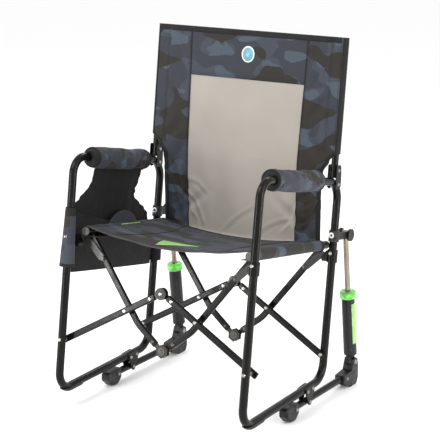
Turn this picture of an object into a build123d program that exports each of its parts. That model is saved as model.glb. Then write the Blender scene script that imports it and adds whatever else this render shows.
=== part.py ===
from build123d import *
import os
from math import atan2, cos, degrees, hypot, radians, sin

# Folding camp rocking chair: two side loops joined by a front and a rear double scissor, a sling seat and
# a sling back, and two sprung base arms that let the whole frame rock.  Millimetres, +Z up, -Y is the front.
# The frame leans back at rest, so most pieces are drawn in leaning planes: v runs rearward along the hinge
# pins, w runs up along the legs, and x runs across the chair.

# ---- driving dimensions -------------------------------------------------------------------------------
LEAN = 8.5                      # lean of the frame at rest, degrees
CENTRE_Y = 63.75                # moves the leaning frame so that the origin is under the middle of the chair
LOOP_X = 286.0                  # side loop centre plane, from the middle
LOOP_R, LOOP_WALL = 11.0, 1.4
LEG_FRONT_V, LEG_REAR_V = -380.0, 50.0
RAIL_FRONT_W, RAIL_REAR_W = -0.5, 73.8      # bottom rail, extended to the two leg lines
ARM_FRONT_W, ARM_REAR_W = 637.0, 616.0      # armrest run, extended to the two leg lines
BENDS = (45.0, 52.0, 55.0, 45.0)            # front bottom, rear bottom, rear top, front top

LEG_PIVOT_W = 142.0             # lower links on the legs
CROWN_W = 305.0                 # centre hinge of the lower links
KEEL_W = 149.0                  # centre hinge of the upper links
CROSS_X = 106.0                 # where a lower and an upper link cross
KNEE = (80.0, 212.0)            # bend of an upper link
RAIL_X, RAIL_W = 253.0, 438.0   # seat rail axis
RAIL_V = (-350.0, 70.0)
LINK_H, LINK_D, LINK_WALL = 18.0, 10.0, 1.2
REAR_SHIFT = 377.0              # the rear scissor is the front one, moved back
LAYER = {"cross_left": -360.0, "cross_right": -349.0, "vee_left": -334.0, "vee_right": -323.0}

RIVET_R, HEAD_R, HEAD_T = 3.0, 5.2, 2.2
PLAY = 0.15                     # radial clearance of a rivet in its hole
OPEN_PIVOT_PLAY = 5.2           # the upper links' centre hinge is the pivot where the linkage is opened
WASHER_R, WASHER_T = 11.0, 1.2  # washers that cover that pivot's larger hole

POST_R = 9.5
POST_FOOT, POST_TOP = (19.5, 628.0), (15.0, 1001.0)
SEAT_V = (-343.0, 36.0)
SEAT_SAG, CLOTH = 24.0, 4.0
BACK_W = (458.0, 1004.0)
SLEEVE_W = 690.0                # the back's post sleeves start here
CREASE_W, BACK_FOOT_V = 660.0, 37.0   # below this height the back slants to the seat's rear edge
BACK_DIP = 32.0                 # how far its lower edge dips in the middle
PAD_R, PAD_IN = 29.0, 6.0
SHOE_REAR_V, SHOE_LIP = -285.0, 2.0  # rear end of the glide shoe, and its edge above the rail's centre line
PAD_V = (-316.0, -56.0)

BASE_R, BASE_Z = 9.5, 29.5
ROCK_PIVOT = (-33.0, BASE_Z)    # y, z before the centring shift
SHOCK_FOOT, SHOCK_HEAD = (234.0, 65.0), (188.0, 445.0)
CYLINDER_R, ROD_R, PIN_R = 18.5, 7.5, 4.0
FOOT_PIVOT_PLAY = 1.7           # the shock's lower eye is the second opened pivot

RAIL_SLOPE = (RAIL_REAR_W - RAIL_FRONT_W) / (LEG_REAR_V - LEG_FRONT_V)
ARM_SLOPE = (ARM_REAR_W - ARM_FRONT_W) / (LEG_REAR_V - LEG_FRONT_V)
POST_RIVET, LOOP_RIVET = (19.3, 649.0), (22.7, 610.8)

SIDES = {"left": -1, "right": 1}
os.makedirs("parts", exist_ok=True)

# ---- places -------------------------------------------------------------------------------------------
BACK_DIR = Vector(0, cos(radians(LEAN)), -sin(radians(LEAN)))
UP_DIR = Vector(0, sin(radians(LEAN)), cos(radians(LEAN)))
ORIGIN = Vector(0, CENTRE_Y, 0)


def across(v):
    """Plane across the chair at depth v: x to the right, w up, facing the front."""
    return Plane(origin=ORIGIN + BACK_DIR * v, x_dir=(1, 0, 0), z_dir=-BACK_DIR)


def beside(x):
    """Leaning side plane at x: v to the rear, w up, facing right."""
    return Plane(origin=ORIGIN + Vector(x, 0, 0), x_dir=BACK_DIR, z_dir=(1, 0, 0))


def level(w):
    """Plane square to the legs at height w: x to the right, v to the rear."""
    return Plane(origin=ORIGIN + UP_DIR * w, x_dir=(1, 0, 0), z_dir=UP_DIR)


def upright(x):
    """Vertical side plane at x for what stands on the floor: y to the rear, z up."""
    return Plane(origin=(x, CENTRE_Y, 0), x_dir=(0, 1, 0), z_dir=(1, 0, 0))


def shock_plane(x, s):
    """Plane square to the shock, s along it from its foot pin to its head pin."""
    dy, dz = SHOCK_HEAD[0] - SHOCK_FOOT[0], SHOCK_HEAD[1] - SHOCK_FOOT[1]
    along = Vector(0, dy, dz).normalized()
    foot = Vector(x, SHOCK_FOOT[0] + CENTRE_Y, SHOCK_FOOT[1])
    return Plane(origin=foot + along * s, x_dir=(1, 0, 0), z_dir=along)


def toward(start, end, distance):
    """The point a distance along the line from start to end."""
    length = hypot(end[0] - start[0], end[1] - start[1])
    return tuple(a + (b - a) * distance / length for a, b in zip(start, end))


def tube(path, width, depth, wall, x_dir):
    """Hollow tube along a path: round when width equals depth, a flat oval otherwise."""
    plane = Plane(origin=path @ 0, x_dir=x_dir, z_dir=path % 0)
    for inset, mode in ((0, Mode.ADD), (wall, Mode.SUBTRACT)):
        with BuildSketch(plane) as section:
            if width == depth:
                Circle(width / 2 - inset)
            else:
                RectangleRounded(depth - 2 * inset, width - 2 * inset, 3.4 - inset)
        sweep(section.sketch, path=path, mode=mode)


def bore(x, w, v, depth, radius):
    """Hole along the hinge direction, from depth v rearward."""
    with BuildSketch(across(v)) as hole:
        with Locations((x, w)):
            Circle(radius)
    extrude(hole.sketch, amount=-depth, mode=Mode.SUBTRACT)


def rivet(x, w, front, back, collar=()):
    """Domed rivet along the hinge direction, with an optional spacer between two depths."""
    with BuildSketch(across(front)) as shank:
        with Locations((x, w)):
            Circle(RIVET_R)
    extrude(shank.sketch, amount=front - back)
    for v, out in ((front, HEAD_T), (back, -HEAD_T)):
        with BuildSketch(across(v)) as head:
            with Locations((x, w)):
                Circle(HEAD_R)
        extrude(head.sketch, amount=out, taper=28)
    if collar:
        with BuildSketch(across(collar[0])) as spacer:
            with Locations((x, w)):
                Circle(HEAD_R)
        extrude(spacer.sketch, amount=collar[0] - collar[1])


def side_pin(plane, y, z, x_from, x_to, radius, head):
    """Pin across a side plane, from x_from to x_to of it, with a flat head at each end."""
    with BuildSketch(plane.offset(x_from)) as shank:
        with Locations((y, z)):
            Circle(radius)
    extrude(shank.sketch, amount=x_to - x_from)
    for x, out in ((x_from, -2.0), (x_to, 2.0)):
        with BuildSketch(plane.offset(x)) as cap:
            with Locations((y, z)):
                Circle(head)
        extrude(cap.sketch, amount=out, taper=20)


CROSS = (CROSS_X, CROWN_W - (CROWN_W - LEG_PIVOT_W) * CROSS_X / LOOP_X)
CROWN, KEEL = (0.0, CROWN_W), (0.0, KEEL_W)
LEG_PIVOT, SEAT_RAIL = (LOOP_X, LEG_PIVOT_W), (RAIL_X, RAIL_W)
CROWN_FIX, KEEL_FIX = toward(CROWN, LEG_PIVOT, 34.0), toward(KEEL, KNEE, 36.0)
RAIL_FIX = toward(KNEE, SEAT_RAIL, 200.0)                     # rivet of a rail plate
PLATE_T = 3.2
BRACKET_W = (396.0, 430.0)                                    # collars on the legs, under the rail plates
BRACKET_RIVET_W = 421.0
MOUNT_V = SHOCK_HEAD[0] * cos(radians(LEAN)) - SHOCK_HEAD[1] * sin(radians(LEAN))
MOUNT_W = SHOCK_HEAD[0] * sin(radians(LEAN)) + SHOCK_HEAD[1] * cos(radians(LEAN))
SLEEVE_R = LOOP_R + 6.8                                       # the organiser's sleeves clear the leg collars
ROCK_RIVETS = ((-46.0, 60.8), (-18.0, 63.6))                  # rock bracket rivets in the bottom rail
SCISSORS = {"front": 0.0, "rear": REAR_SHIFT}
PLATE_OUTLINE = ((196, 362), (214, 366), (248, 398), (264, 410), (266, 420), (256, 422), (238, 414), (200, 380))
ARM_Y = (-140.0, 205.0)                                       # ends of the base arm tube
ARM_PINS = ((-108.0, BASE_Z), (186.0, BASE_Z))                # pins through the boot and the knuckle
BOOT_OUTLINE = ((-158, 38), (-150, 43), (-92, 43), (-92, 17), (-104, 5), (-112, 0), (-126, 0), (-140, 4),
                (-158, 20))
SHOCK_LENGTH = hypot(SHOCK_HEAD[0] - SHOCK_FOOT[0], SHOCK_HEAD[1] - SHOCK_FOOT[1])
CYLINDER_S, ROD_START = (21.0, 205.0), 110.0                  # along the shock, from its foot pin
POUCH_OUTLINE = ((-363, 345), (33, 318), (33, 430), (-62, 522), (-300, 532), (-363, 500))
POUCH_INSIDE = ((-360.5, 348), (30.5, 321), (30.5, 429), (-60, 540), (-302, 548), (-360.5, 498))

for side, sx in SIDES.items():
    x0 = sx * LOOP_X

    # ---- side loop: one bent tube, front leg, bottom rail, rear leg and armrest -------------------------
    with BuildLine(beside(x0)) as loop_path:
        FilletPolyline(
            (LEG_FRONT_V, RAIL_FRONT_W), (LEG_REAR_V, RAIL_REAR_W),
            (LEG_REAR_V, ARM_REAR_W), (LEG_FRONT_V, ARM_FRONT_W),
            radius=list(BENDS), close=True)
    with BuildPart() as side_loop:
        tube(loop_path.wires()[0], 2 * LOOP_R, 2 * LOOP_R, LOOP_WALL, (1, 0, 0))
        for v in (LEG_FRONT_V, LEG_REAR_V):
            for w in (LEG_PIVOT_W, BRACKET_RIVET_W):
                bore(x0, w, v - 20, 40, RIVET_R + PLAY)
        with BuildSketch(upright(x0 - 20)):
            with Locations(*ROCK_RIVETS):
                Circle(RIVET_R + PLAY)
        extrude(amount=40, mode=Mode.SUBTRACT)
        with BuildSketch(beside(x0 - 20)):
            with Locations(LOOP_RIVET):
                Circle(RIVET_R + PLAY)
        extrude(amount=40, mode=Mode.SUBTRACT)
    side_loop.part.label = f"side_loop_{side}"
    export_step(side_loop.part, f"parts/side_loop_{side}.step")

    # ---- glide shoe moulded round the loop's front bottom bend ------------------------------------------
    with BuildLine(beside(x0)) as shoe_path:
        FilletPolyline(
            (LEG_FRONT_V, 62.0), (LEG_FRONT_V, RAIL_FRONT_W),
            (SHOE_REAR_V, RAIL_FRONT_W + (SHOE_REAR_V - LEG_FRONT_V) * RAIL_SLOPE),
            radius=BENDS[0])
    with BuildPart() as front_glide:
        tube(shoe_path.wires()[0], 2 * LOOP_R + 6, 2 * LOOP_R + 6, 2.9, (1, 0, 0))
        with BuildSketch(beside(x0 - 20)):
            with BuildLine():
                Polyline((-420, RAIL_FRONT_W - 40 * RAIL_SLOPE + SHOE_LIP), (-220, RAIL_FRONT_W + 160 * RAIL_SLOPE + SHOE_LIP),
                         (-220, 160), (-420, 160), close=True)
            make_face()
        extrude(amount=40, mode=Mode.SUBTRACT)
    front_glide.part.label = f"front_glide_{side}"
    export_step(front_glide.part, f"parts/front_glide_{side}.step")

    # ---- armrest pad: foam and cloth sleeve on the armrest ----------------------------------------------
    with BuildPart() as arm_pad:
        pad_start = Vector(PAD_V[0], ARM_FRONT_W + (PAD_V[0] - LEG_FRONT_V) * ARM_SLOPE)
        pad_plane = Plane(
            origin=beside(x0).from_local_coords(pad_start), x_dir=(1, 0, 0),
            z_dir=BACK_DIR + UP_DIR * ARM_SLOPE)
        with BuildSketch(pad_plane):
            with Locations((-sx * PAD_IN, 0)):
                Circle(PAD_R)
            Circle(LOOP_R + PLAY, mode=Mode.SUBTRACT)
        extrude(amount=PAD_V[1] - PAD_V[0])
    arm_pad.part.label = f"arm_pad_{side}"
    export_step(arm_pad.part, f"parts/arm_pad_{side}.step")

    # ---- back post and the two cheeks that join it to the rear top bend -----------------------------------
    with BuildPart() as back_post:
        with BuildLine(beside(x0)) as post_path:
            Line(POST_FOOT, POST_TOP)
        tube(post_path.wires()[0], 2 * POST_R, 2 * POST_R, 1.4, (1, 0, 0))
        with BuildSketch(beside(x0 - 20)):
            with Locations(POST_RIVET):
                Circle(RIVET_R + PLAY)
        extrude(amount=40, mode=Mode.SUBTRACT)
    back_post.part.label = f"back_post_{side}"
    export_step(back_post.part, f"parts/back_post_{side}.step")

    with BuildPart() as post_bracket:
        for start, thick in ((LOOP_R + 0.2, 2.6), (-LOOP_R - 0.2, -2.6)):
            with BuildSketch(beside(x0 + start)):
                with BuildLine():
                    Polyline((8, 664), (31, 663), (36, 640), (38, 604), (20, 597), (9, 604), close=True)
                make_face()
                fillet(vertices(), radius=6)
                with Locations(POST_RIVET, LOOP_RIVET):
                    Circle(RIVET_R + PLAY, mode=Mode.SUBTRACT)
            extrude(amount=thick)
    post_bracket.part.label = f"post_bracket_{side}"
    export_step(post_bracket.part, f"parts/post_bracket_{side}.step")

    # ---- collars on the legs, with the lugs that the rail plates come down on -----------------------------
    with BuildPart() as leg_brackets:
        for leg_v, lug_v in ((LEG_FRONT_V, (-368.0, -346.0)), (LEG_REAR_V, (35.4, 38.6))):
            with BuildSketch(level(BRACKET_W[0])):
                with Locations((x0, leg_v)):
                    Circle(LOOP_R + 3.5)
            extrude(amount=BRACKET_W[1] - BRACKET_W[0])
            with BuildSketch(across(lug_v[0])):
                with BuildLine():
                    Polyline((x0 - sx * 8, 398), (sx * 262, 398), (sx * 260, 408), (x0 - sx * 12, 428),
                             (x0 - sx * 8, 428), close=True)
                make_face()
            extrude(amount=lug_v[0] - lug_v[1])
            with BuildSketch(level(BRACKET_W[0] - 5)):
                with Locations((x0, leg_v)):
                    Circle(LOOP_R + PLAY)
            extrude(amount=50, mode=Mode.SUBTRACT)
            bore(x0, BRACKET_RIVET_W, leg_v - 20, 40, RIVET_R + PLAY)
    leg_brackets.part.label = f"leg_brackets_{side}"
    export_step(leg_brackets.part, f"parts/leg_brackets_{side}.step")

    # ---- rock bracket: two cheeks on the bottom rail that hold the base arm's pivot -----------------------
    with BuildPart() as rock_bracket:
        for start, thick in ((LOOP_R + 0.3, 3.0), (-LOOP_R - 0.3, -3.0)):
            with BuildSketch(upright(x0 + start)):
                with Locations(ROCK_PIVOT):
                    Circle(9.5)
                with BuildLine():
                    Polyline((-56, 58), (-55, 69), (-9, 72), (-7, 60), (-24, 27), (-42, 27), close=True)
                make_face()
                fillet(vertices().group_by(Axis.Z)[-1], radius=4)
                with Locations(ROCK_PIVOT, *ROCK_RIVETS):
                    Circle(RIVET_R + PLAY, mode=Mode.SUBTRACT)
            extrude(amount=thick)
    rock_bracket.part.label = f"rock_bracket_{side}"
    export_step(rock_bracket.part, f"parts/rock_bracket_{side}.step")

    # ---- upper shock mount: collar on the rear leg, two ears and the round knobs --------------------------
    with BuildPart() as shock_mount:
        with BuildSketch(level(MOUNT_W - 15)):
            with Locations((x0, LEG_REAR_V)):
                Circle(LOOP_R + 3.5)
        extrude(amount=30)
        for start, thick in ((8.4, 3.6), (-8.4, -3.6)):
            with BuildSketch(beside(x0 + start)):
                with Locations((MOUNT_V, MOUNT_W)):
                    Circle(13)
                with Locations(((MOUNT_V + LEG_REAR_V + 6) / 2, MOUNT_W)):
                    Rectangle(MOUNT_V - LEG_REAR_V - 6, 20)
            extrude(amount=thick)
        for start, thick in ((12.0, 6.5), (-12.0, -4.5)):
            with BuildSketch(beside(x0 + start)):
                with Locations((MOUNT_V, MOUNT_W)):
                    Circle(17)
            extrude(amount=thick)
        with BuildSketch(level(MOUNT_W - 20)):
            with Locations((x0, LEG_REAR_V)):
                Circle(LOOP_R + PLAY)
        extrude(amount=40, mode=Mode.SUBTRACT)
        with BuildSketch(beside(x0 - 12)):
            with Locations((MOUNT_V, MOUNT_W)):
                Circle(PIN_R)
        extrude(amount=24)
    shock_mount.part.label = f"shock_mount_{side}"
    export_step(shock_mount.part, f"parts/shock_mount_{side}.step")

    # ---- rivets and pivot pins that stay with the side loop ------------------------------------------------
    with BuildPart() as loop_rivets:
        for name, shift in SCISSORS.items():
            layer = LAYER[f"cross_{side}"] + shift
            front = LEG_FRONT_V - LOOP_R if name == "front" else layer
            back = layer + LINK_D if name == "front" else LEG_REAR_V + LOOP_R
            gap = (LEG_FRONT_V + LOOP_R + 0.3, layer - 0.3) if name == "front" else \
                (layer + LINK_D + 0.3, LEG_REAR_V - LOOP_R - 0.3)
            rivet(x0, LEG_PIVOT_W, front - 0.3, back + 0.3, gap)
            leg_v = LEG_FRONT_V if name == "front" else LEG_REAR_V
            rivet(x0, BRACKET_RIVET_W, leg_v - LOOP_R - 3.8, leg_v + LOOP_R + 3.8)
        for v, w in (POST_RIVET, LOOP_RIVET):
            side_pin(beside(x0), v, w, -LOOP_R - 3.0, LOOP_R + 3.0, RIVET_R, HEAD_R)
        for y, z in (ROCK_PIVOT, *ROCK_RIVETS):
            side_pin(upright(x0), y, z, -LOOP_R - 3.5, LOOP_R + 3.5, RIVET_R, HEAD_R)
    loop_rivets.part.label = f"loop_rivets_{side}"
    export_step(loop_rivets.part, f"parts/loop_rivets_{side}.step")

    # ---- lower links of the scissors: from the leg up to the crown hinge ----------------------------------
    layer = LAYER[f"cross_{side}"]
    pivot, crown_fix, cross = ((sx * x, w) for x, w in (LEG_PIVOT, CROWN_FIX, CROSS))
    for name, shift in SCISSORS.items():
        middle = layer + shift + LINK_D / 2
        with BuildPart() as cross_link:
            with BuildLine(across(middle)) as link_path:
                Line(toward(CROWN, pivot, 20.0), toward(pivot, CROWN, -13.0))
            tube(link_path.wires()[0], LINK_H, LINK_D, LINK_WALL, BACK_DIR)
            for x, w in (pivot, crown_fix, cross):
                bore(x, w, middle - 10, 20, RIVET_R + PLAY)
        cross_link.part.label = f"{name}_cross_link_{side}"
        export_step(cross_link.part, f"parts/{name}_cross_link_{side}.step")

    with BuildPart() as crown_plates:
        for shift in SCISSORS.values():
            with BuildSketch(across(layer + shift + LINK_D / 2 - PLATE_T / 2)):
                with Locations(CROWN):
                    Circle(16)
                with Locations(toward(CROWN, pivot, 24.0)):
                    Rectangle(48, 13.6, rotation=degrees(atan2(pivot[1] - CROWN_W, pivot[0])))
                with Locations(CROWN, crown_fix):
                    Circle(RIVET_R + PLAY, mode=Mode.SUBTRACT)
            extrude(amount=-PLATE_T)
    crown_plates.part.label = f"crown_plates_{side}"
    export_step(crown_plates.part, f"parts/crown_plates_{side}.step")

    with BuildPart() as cross_rivets:
        for shift in SCISSORS.values():
            front, vee = layer + shift, LAYER[f"vee_{side}"] + shift
            rivet(*crown_fix, front - 0.2, front + LINK_D + 0.2)
            rivet(*cross, front - 0.2, vee + LINK_D + 0.2, (front + LINK_D + 0.2, vee - 0.2))
            if side == "left":
                plate_front = front + LINK_D / 2 - PLATE_T / 2
                plate_back = LAYER["cross_right"] + shift + LINK_D / 2 + PLATE_T / 2
                rivet(*CROWN, plate_front - 0.2, plate_back + 0.2,
                      (plate_front + PLATE_T + 0.2, plate_back - PLATE_T - 0.2))
    cross_rivets.part.label = f"cross_rivets_{side}"
    export_step(cross_rivets.part, f"parts/cross_rivets_{side}.step")

    # ---- upper links of the scissors: from the keel hinge, past the crossing, to the seat rail -------------
    layer = LAYER[f"vee_{side}"]
    knee, keel_fix, rail, rail_fix = ((sx * x, w) for x, w in (KNEE, KEEL_FIX, SEAT_RAIL, RAIL_FIX))
    for name, shift in SCISSORS.items():
        middle = layer + shift + LINK_D / 2
        with BuildPart() as vee_link:
            with BuildLine(across(middle)) as link_path:
                FilletPolyline(toward(KEEL, knee, 25.0), knee, rail, radius=90)
            tube(link_path.wires()[0], LINK_H, LINK_D, LINK_WALL, BACK_DIR)
            for x, w in (cross, keel_fix, rail_fix):
                bore(x, w, middle - 10, 20, RIVET_R + PLAY)
            bore(*rail, middle - 10, 20, LOOP_R + 0.2)
        vee_link.part.label = f"{name}_vee_link_{side}"
        export_step(vee_link.part, f"parts/{name}_vee_link_{side}.step")

    with BuildPart() as keel_plates:
        for shift in SCISSORS.values():
            with BuildSketch(across(layer + shift + LINK_D / 2 - PLATE_T / 2)):
                with Locations(KEEL):
                    RegularPolygon(19, 6, rotation=30)
                with Locations(toward(KEEL, knee, 24.0)):
                    Rectangle(48, 13.6, rotation=degrees(atan2(knee[1] - KEEL_W, knee[0])))
                with Locations(keel_fix):
                    Circle(RIVET_R + PLAY, mode=Mode.SUBTRACT)
                with Locations(KEEL):
                    Circle(RIVET_R + (PLAY if side == "left" else OPEN_PIVOT_PLAY), mode=Mode.SUBTRACT)
            extrude(amount=-PLATE_T)
    keel_plates.part.label = f"keel_plates_{side}"
    export_step(keel_plates.part, f"parts/keel_plates_{side}.step")

    # ---- rail plates: flat bars that tie each upper link to its leg collar when the chair is open ----------
    with BuildPart() as rail_plates:
        for shift in SCISSORS.values():
            with BuildSketch(across(layer + shift - PLATE_T - 0.1)):
                with BuildLine():
                    Polyline([(sx * x, w) for x, w in PLATE_OUTLINE], close=True)
                make_face()
                fillet(vertices(), radius=3.5)
                with Locations(rail_fix):
                    Circle(RIVET_R + PLAY, mode=Mode.SUBTRACT)
            extrude(amount=-PLATE_T)
    rail_plates.part.label = f"rail_plates_{side}"
    export_step(rail_plates.part, f"parts/rail_plates_{side}.step")

    # ---- seat rail and its end caps -------------------------------------------------------------------------
    with BuildPart() as seat_rail:
        with BuildSketch(across(RAIL_V[0])):
            with Locations(rail):
                Circle(LOOP_R)
                Circle(LOOP_R - LOOP_WALL, mode=Mode.SUBTRACT)
        extrude(amount=RAIL_V[0] - RAIL_V[1])
    seat_rail.part.label = f"seat_rail_{side}"
    export_step(seat_rail.part, f"parts/seat_rail_{side}.step")

    with BuildPart() as rail_caps:
        for v, inward in ((RAIL_V[0], -1), (RAIL_V[1], 1)):
            with BuildSketch(across(v)):
                with Locations(rail):
                    Circle(LOOP_R - LOOP_WALL - 0.1)
            extrude(amount=12 * inward)
            with BuildSketch(across(v)):
                with Locations(rail):
                    Circle(LOOP_R + 0.6)
            extrude(amount=-3 * inward, taper=15)
    rail_caps.part.label = f"rail_caps_{side}"
    export_step(rail_caps.part, f"parts/rail_caps_{side}.step")

    with BuildPart() as vee_rivets:
        for shift in SCISSORS.values():
            front = layer + shift
            rivet(*keel_fix, front - 0.2, front + LINK_D + 0.2)
            rivet(*rail_fix, front - PLATE_T - 0.3, front + LINK_D + 0.2)
            if side == "left":
                plate_front = front + LINK_D / 2 - PLATE_T / 2
                plate_back = LAYER["vee_right"] + shift + LINK_D / 2 + PLATE_T / 2
                rivet(*KEEL, plate_front - WASHER_T, plate_back + WASHER_T)
                for face in (plate_front - 0.1 - WASHER_T, plate_back + 0.1):
                    with BuildSketch(across(face)):
                        with Locations(KEEL):
                            Circle(WASHER_R)
                            Circle(RIVET_R - PLAY, mode=Mode.SUBTRACT)
                    extrude(amount=-WASHER_T)
    vee_rivets.part.label = f"vee_rivets_{side}"
    export_step(vee_rivets.part, f"parts/vee_rivets_{side}.step")

    # ---- base arm with its front boot and rear knuckle --------------------------------------------------------
    with BuildPart() as base_arm:
        with BuildLine(upright(x0)) as arm_path:
            Line((ARM_Y[0], BASE_Z), (ARM_Y[1], BASE_Z))
        tube(arm_path.wires()[0], 2 * BASE_R, 2 * BASE_R, 1.5, (1, 0, 0))
        with BuildSketch(upright(x0 - 20)):
            with Locations(ROCK_PIVOT, *ARM_PINS):
                Circle(RIVET_R + PLAY)
        extrude(amount=40, mode=Mode.SUBTRACT)
    base_arm.part.label = f"base_arm_{side}"
    export_step(base_arm.part, f"parts/base_arm_{side}.step")

    with BuildPart() as front_boot:
        with BuildSketch(upright(x0 - 14)):
            with BuildLine():
                Polyline(BOOT_OUTLINE, close=True)
            make_face()
        extrude(amount=28)
        chamfer(front_boot.edges().filter_by(Axis.X, reverse=True), length=4)
        with BuildSketch(Plane.XZ.offset(-(ARM_Y[0] + CENTRE_Y - 0.1))):
            with Locations((x0, BASE_Z)):
                Circle(BASE_R + PLAY)
        extrude(amount=-80, mode=Mode.SUBTRACT)
        with BuildSketch(upright(x0 - 20)):
            with Locations(ARM_PINS[0]):
                Circle(RIVET_R + PLAY)
        extrude(amount=40, mode=Mode.SUBTRACT)
    front_boot.part.label = f"front_boot_{side}"
    export_step(front_boot.part, f"parts/front_boot_{side}.step")

    with BuildPart() as rear_knuckle:
        with BuildSketch(upright(x0 - 15)):
            with BuildLine():
                Polyline((168, 41), (168, 16), (200, 3), (206, 0), (238, 0), (246, 5), (252, 18), (252, 52),
                         (246, 74), (236, 79), (226, 76), (214, 46), close=True)
            make_face()
            fillet(vertices().sort_by(Axis.Y)[-6:], radius=2.5)
        extrude(amount=30)
        with BuildSketch(upright(x0 - 8.4)):
            with Locations(SHOCK_FOOT):
                Circle(16)
            with Locations((SHOCK_FOOT[0], SHOCK_FOOT[1] + 20)):
                Rectangle(60, 40)
        extrude(amount=16.8, mode=Mode.SUBTRACT)
        with BuildSketch(Plane.XZ.offset(-(ARM_Y[1] + CENTRE_Y + 0.1))):
            with Locations((x0, BASE_Z)):
                Circle(BASE_R + PLAY)
        extrude(amount=80, mode=Mode.SUBTRACT)
        with BuildSketch(upright(x0 - 20)):
            with Locations(ARM_PINS[1]):
                Circle(RIVET_R + PLAY)
            with Locations(SHOCK_FOOT):
                Circle(PIN_R + PLAY)
        extrude(amount=40, mode=Mode.SUBTRACT)
    rear_knuckle.part.label = f"rear_knuckle_{side}"
    export_step(rear_knuckle.part, f"parts/rear_knuckle_{side}.step")

    with BuildPart() as base_pins:
        for y, z in ARM_PINS:
            side_pin(upright(x0), y, z, -15.2, 15.2, RIVET_R, HEAD_R)
        side_pin(upright(x0), *SHOCK_FOOT, -15.2, 15.2, PIN_R, 7.0)
    base_pins.part.label = f"base_pins_{side}"
    export_step(base_pins.part, f"parts/base_pins_{side}.step")

    # ---- shock: lower eye, cylinder, collar and rod ------------------------------------------------------------
    with BuildPart() as shock_eye:
        with BuildSketch(upright(x0 - 8)):
            with Locations(SHOCK_FOOT):
                Circle(12)
        extrude(amount=16)
        with BuildSketch(shock_plane(x0, 0)):
            Rectangle(16, 22)
        extrude(amount=CYLINDER_S[0])
        with BuildSketch(upright(x0 - 20)):
            with Locations(SHOCK_FOOT):
                Circle(PIN_R + FOOT_PIVOT_PLAY)
        extrude(amount=40, mode=Mode.SUBTRACT)
    shock_eye.part.label = f"shock_eye_{side}"
    export_step(shock_eye.part, f"parts/shock_eye_{side}.step")

    with BuildPart() as shock_cylinder:
        with BuildSketch(shock_plane(x0, CYLINDER_S[0])):
            Circle(CYLINDER_R)
        extrude(amount=CYLINDER_S[1] - CYLINDER_S[0])
        chamfer(shock_cylinder.edges().sort_by(Axis.Z)[0], length=4)
        with BuildSketch(shock_plane(x0, CYLINDER_S[0] + 5)):
            Circle(CYLINDER_R - 3)
        extrude(amount=CYLINDER_S[1] - CYLINDER_S[0], mode=Mode.SUBTRACT)
    shock_cylinder.part.label = f"shock_cylinder_{side}"
    export_step(shock_cylinder.part, f"parts/shock_cylinder_{side}.step")

    with BuildPart() as shock_collar:
        with BuildSketch(shock_plane(x0, CYLINDER_S[1] - 9)):
            Circle(CYLINDER_R + 4)
        extrude(amount=19)
        chamfer(shock_collar.edges().sort_by(Axis.Z)[-1], length=2.5)
        with BuildSketch(shock_plane(x0, CYLINDER_S[1] - 10)):
            Circle(CYLINDER_R + 0.05)
        extrude(amount=10.1, mode=Mode.SUBTRACT)
        with BuildSketch(shock_plane(x0, CYLINDER_S[1] - 1)):
            Circle(ROD_R + 0.08)
        extrude(amount=30, mode=Mode.SUBTRACT)
    shock_collar.part.label = f"shock_collar_{side}"
    export_step(shock_collar.part, f"parts/shock_collar_{side}.step")

    with BuildPart() as shock_rod:
        with BuildSketch(shock_plane(x0, ROD_START)):
            Circle(CYLINDER_R - 3.2)
        extrude(amount=12)
        with BuildSketch(shock_plane(x0, ROD_START)):
            Circle(ROD_R)
        extrude(amount=SHOCK_LENGTH - 8 - ROD_START)
        with BuildSketch(upright(x0 - 8)):
            with Locations(SHOCK_HEAD):
                Circle(12.5)
        extrude(amount=16)
        with BuildSketch(upright(x0 - 20)):
            with Locations(SHOCK_HEAD):
                Circle(PIN_R + PLAY)
        extrude(amount=40, mode=Mode.SUBTRACT)
    shock_rod.part.label = f"shock_rod_{side}"
    export_step(shock_rod.part, f"parts/shock_rod_{side}.step")

# ---- seat cloth: a sling that sags between the seat rails and wraps their outer sides ----------------------------
SEAT_TOP = RAIL_W + LOOP_R + 0.4
with BuildPart() as seat_cloth:
    with BuildSketch(across(SEAT_V[0])):
        with BuildLine():
            outer, inner = LOOP_R + 0.4 + CLOTH, LOOP_R + 0.4
            upper = ThreePointArc((-RAIL_X, RAIL_W + outer), (0, RAIL_W + outer - SEAT_SAG),
                                  (RAIL_X, RAIL_W + outer))
            lower = ThreePointArc((-RAIL_X, RAIL_W + inner), (0, RAIL_W + inner - SEAT_SAG),
                                  (RAIL_X, RAIL_W + inner))
            for sx in SIDES.values():
                middle = sx * RAIL_X
                for reach in (outer, inner):
                    ThreePointArc((middle, RAIL_W + reach), (middle + sx * reach * cos(radians(45)),
                                  RAIL_W + reach * sin(radians(45))), (middle + sx * reach, RAIL_W))
                Line((middle + sx * outer, RAIL_W), (middle + sx * inner, RAIL_W))
        make_face()
    extrude(amount=SEAT_V[0] - SEAT_V[1])
seat_cloth.part.label = "seat_cloth"
export_step(seat_cloth.part, "parts/seat_cloth.step")

# ---- back cloth: a panel with a waist at the armrests that slants to the seat, and a sleeve round each post -------
BACK_LEAN = (POST_FOOT[0] - POST_TOP[0]) / (POST_TOP[1] - POST_FOOT[1])


def post_v(w):
    """Depth of the post axis at height w, continued below its foot."""
    return POST_FOOT[0] - (w - POST_FOOT[1]) * BACK_LEAN


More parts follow.
